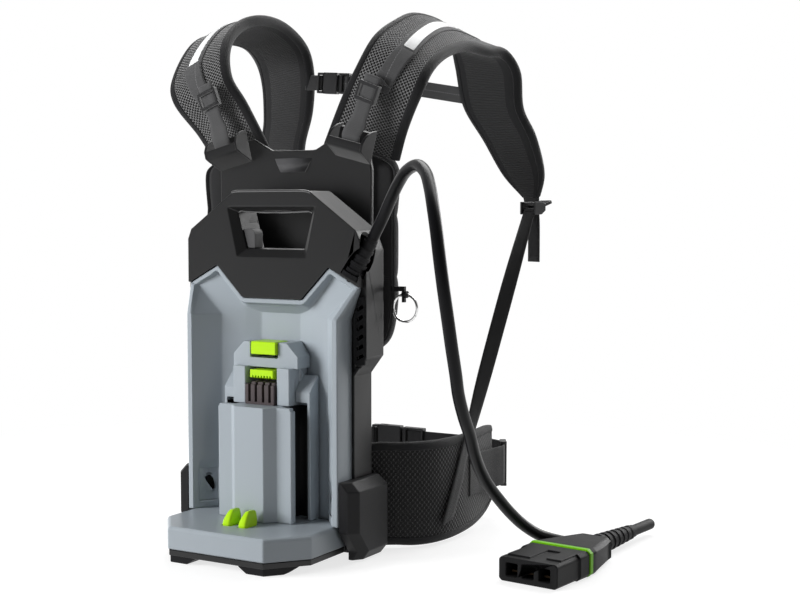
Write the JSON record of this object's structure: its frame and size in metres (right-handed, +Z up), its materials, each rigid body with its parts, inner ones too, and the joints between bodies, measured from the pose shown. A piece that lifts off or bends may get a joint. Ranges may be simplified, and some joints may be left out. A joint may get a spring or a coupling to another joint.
{
  "type": "backpack battery carrier",
  "caption": "Backpack power carrier with a battery dock, padded shoulder and waist harness, carry handle and a power cord ending in a flat three-pole connector.",
  "frame": {"origin": "on the floor, under the middle of the carrier's bounding box without the free cord and its connector", "axes": "+Z up; the battery bay faces -Y and the wearer stands at +Y; +X is to the right when the bay is seen from the front"},
  "size_m": [0.5832, 0.4683, 0.641],
  "materials": {
    "cover_grey": "satin metallic grey moulding",
    "body_black": "fine-grained black moulding",
    "rubber_black": "matt rubber",
    "lime_plastic": "smooth lime moulding",
    "terminal_brown": "brown-grey contact housing",
    "contact_metal": "plated contact",
    "spring_steel": "spring wire",
    "screw_steel": "blackened screws",
    "board_green": "circuit board",
    "lead_red": "insulated leads",
    "cord_rubber": "satin rubber sheath",
    "connector_black": "fine-grained black moulding",
    "hook_grey": "grey moulding",
    "mesh_fabric": "spacer mesh with black binding",
    "webbing": "woven webbing",
    "hardware_black": "moulded buckle",
    "ring_steel": "plated ring"
  },
  "bodies": {
    "carrier": {"rubber_feet": "rubber_black", "base_frame": "body_black", "shelf_tray": "cover_grey", "front_cover": "cover_grey", "back_frame": "body_black", "rear_cover": "body_black", "case_screws": "screw_steel", "vent_grilles": "rubber_black", "window_hook": "hook_grey", "side_bumper_left": "body_black", "side_bumper_right": "body_black", "dock_tower": "cover_grey", "dock_rails": "cover_grey", "terminal_block": "terminal_brown", "terminal_blades": "contact_metal", "button_spring": "spring_steel", "ejector_spring_left": "spring_steel", "ejector_spring_right": "spring_steel", "power_board": "board_green", "inner_leads": "lead_red", "cable_clamp": "body_black", "cord_gland": "rubber_black", "strain_relief": "rubber_black", "cord_run": "cord_rubber", "connector_shell": "connector_black", "connector_rear": "connector_black", "connector_band": "lime_plastic", "connector_contacts": "contact_metal", "connector_tail": "rubber_black", "harness_plate": "body_black", "lifter_anchors": "hardware_black", "back_pad": "mesh_fabric", "shoulder_strap_left": "mesh_fabric", "shoulder_strap_right": "mesh_fabric", "lifter_webbing_left": "webbing", "lifter_webbing_right": "webbing", "sternum_webbing_left": "webbing", "sternum_webbing_right": "webbing", "sternum_buckle_female": "hardware_black", "adjuster_webbing_left": "webbing", "adjuster_webbing_right": "webbing", "adjuster_frames": "hardware_black", "belt_wing_left": "mesh_fabric", "belt_wing_right": "mesh_fabric", "belt_webbing_left": "webbing", "belt_webbing_right": "webbing", "belt_adjusters": "hardware_black", "belt_buckle_female": "hardware_black", "d_ring_tab": "webbing"},
    "release_button": {"release_button": "lime_plastic"},
    "latch": {"latch": "lime_plastic"},
    "ejector_left": {"ejector_left": "lime_plastic"},
    "ejector_right": {"ejector_right": "lime_plastic"},
    "lifter_buckle_left": {"lifter_buckle_left": "hardware_black"},
    "lifter_buckle_right": {"lifter_buckle_right": "hardware_black"},
    "sternum_buckle_male": {"sternum_buckle_male": "hardware_black"},
    "belt_buckle_male": {"belt_buckle_male": "hardware_black"},
    "adjuster_lever_left": {"adjuster_lever_left": "hardware_black"},
    "adjuster_lever_right": {"adjuster_lever_right": "hardware_black"},
    "d_ring": {"d_ring": "ring_steel"}
  },
  "joints": [
    {"name": "button_press", "type": "slide", "parent": "carrier", "child": "release_button", "axis": [0, 0, -1], "range_m": [0, 0.004], "stiffness_N_per_m": 800, "springref_m": -0.002, "deforming": ["button_spring"]},
    {"name": "latch_slide", "type": "slide", "parent": "carrier", "child": "latch", "axis": [0, 1, 0], "range_m": [0, 0.005]},
    {"name": "ejector_left_press", "type": "slide", "parent": "carrier", "child": "ejector_left", "axis": [0, 0, -1], "range_m": [0, 0.008], "stiffness_N_per_m": 600, "springref_m": -0.003, "deforming": ["ejector_spring_left"]},
    {"name": "ejector_right_press", "type": "slide", "parent": "carrier", "child": "ejector_right", "axis": [0, 0, -1], "range_m": [0, 0.008], "stiffness_N_per_m": 600, "springref_m": -0.003, "deforming": ["ejector_spring_right"]},
    {"name": "lifter_left_slide", "type": "slide", "parent": "carrier", "child": "lifter_buckle_left", "axis": [0.3638, 0, -0.9315], "range_m": [0, 0.02]},
    {"name": "lifter_right_slide", "type": "slide", "parent": "carrier", "child": "lifter_buckle_right", "axis": [-0.3638, 0, -0.9315], "range_m": [0, 0.02]},
    {"name": "sternum_release", "type": "slide", "parent": "carrier", "child": "sternum_buckle_male", "axis": [0.9977, 0, -0.0675], "range_m": [0, 0.025]},
    {"name": "belt_release", "type": "slide", "parent": "carrier", "child": "belt_buckle_male", "axis": [1, 0, 0], "range_m": [0, 0.04]},
    {"name": "adjuster_left_tilt", "type": "hinge", "parent": "carrier", "child": "adjuster_lever_left", "pos_m": [-0.19274, 0.19952, 0.398], "axis": [0.9397, 0.342, 0], "range_deg": [0, 25]},
    {"name": "adjuster_right_tilt", "type": "hinge", "parent": "carrier", "child": "adjuster_lever_right", "pos_m": [0.19274, 0.19952, 0.398], "axis": [0.9397, -0.342, 0], "range_deg": [0, 25]},
    {"name": "d_ring_swing", "type": "hinge", "parent": "carrier", "child": "d_ring", "pos_m": [0.145, -0.051, 0.2985], "axis": [1, 0, 0], "range_deg": [-70, 70]}
  ],
  "couplings": [
    {"joint": "latch_slide", "follows": "button_press", "ratio": 1.25}
  ]
}
